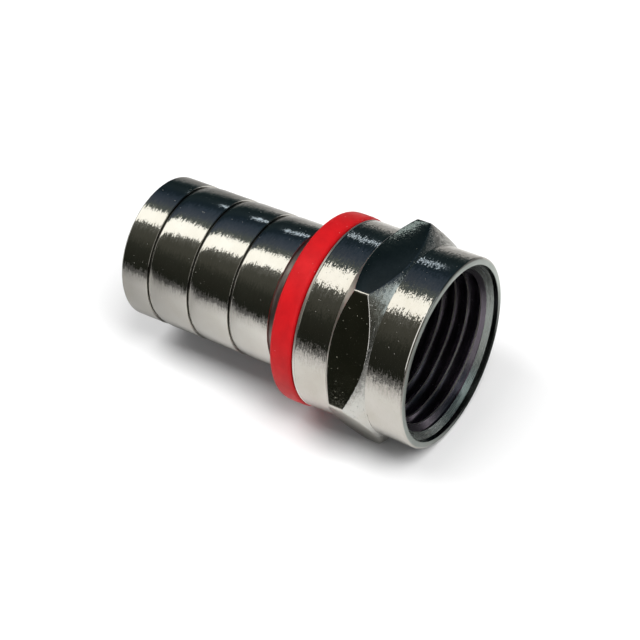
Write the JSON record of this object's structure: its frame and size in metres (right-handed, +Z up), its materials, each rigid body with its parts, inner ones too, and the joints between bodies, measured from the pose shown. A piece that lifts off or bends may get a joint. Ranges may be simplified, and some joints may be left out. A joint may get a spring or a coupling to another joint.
{
  "type": "f connector",
  "caption": "Crimp-on male coaxial connector: hexagon coupling nut that spins on a flanged post, red seal ring and a grooved crimp sleeve.",
  "frame": {"origin": "centre of the coupling nut's front face, on the connector's axis", "axes": "+X along the axis out of the nut's mouth, towards the port it screws on; the cable goes in from -X; +Z up, with the nut lying on one of its flats"},
  "size_m": [0.0192, 0.0128, 0.0112],
  "materials": {
    "nut_nickel": "bright nickel plating over turned brass, with fine tool marks",
    "post_nickel": "nickel plating over turned brass, duller than the outside",
    "ring_red": "satin red moulded rubber",
    "sleeve_nickel": "bright nickel plating over turned brass, with fine tool marks"
  },
  "bodies": {
    "cable_side": {"post": "post_nickel", "seal_ring": "ring_red", "crimp_sleeve": "sleeve_nickel"},
    "nut": {"coupling_nut": "nut_nickel"}
  },
  "joints": [
    {"name": "nut_spin", "type": "hinge", "parent": "cable_side", "child": "nut", "pos_m": [-0.0063, 0, 0], "axis": [1, 0, 0], "continuous": true}
  ]
}
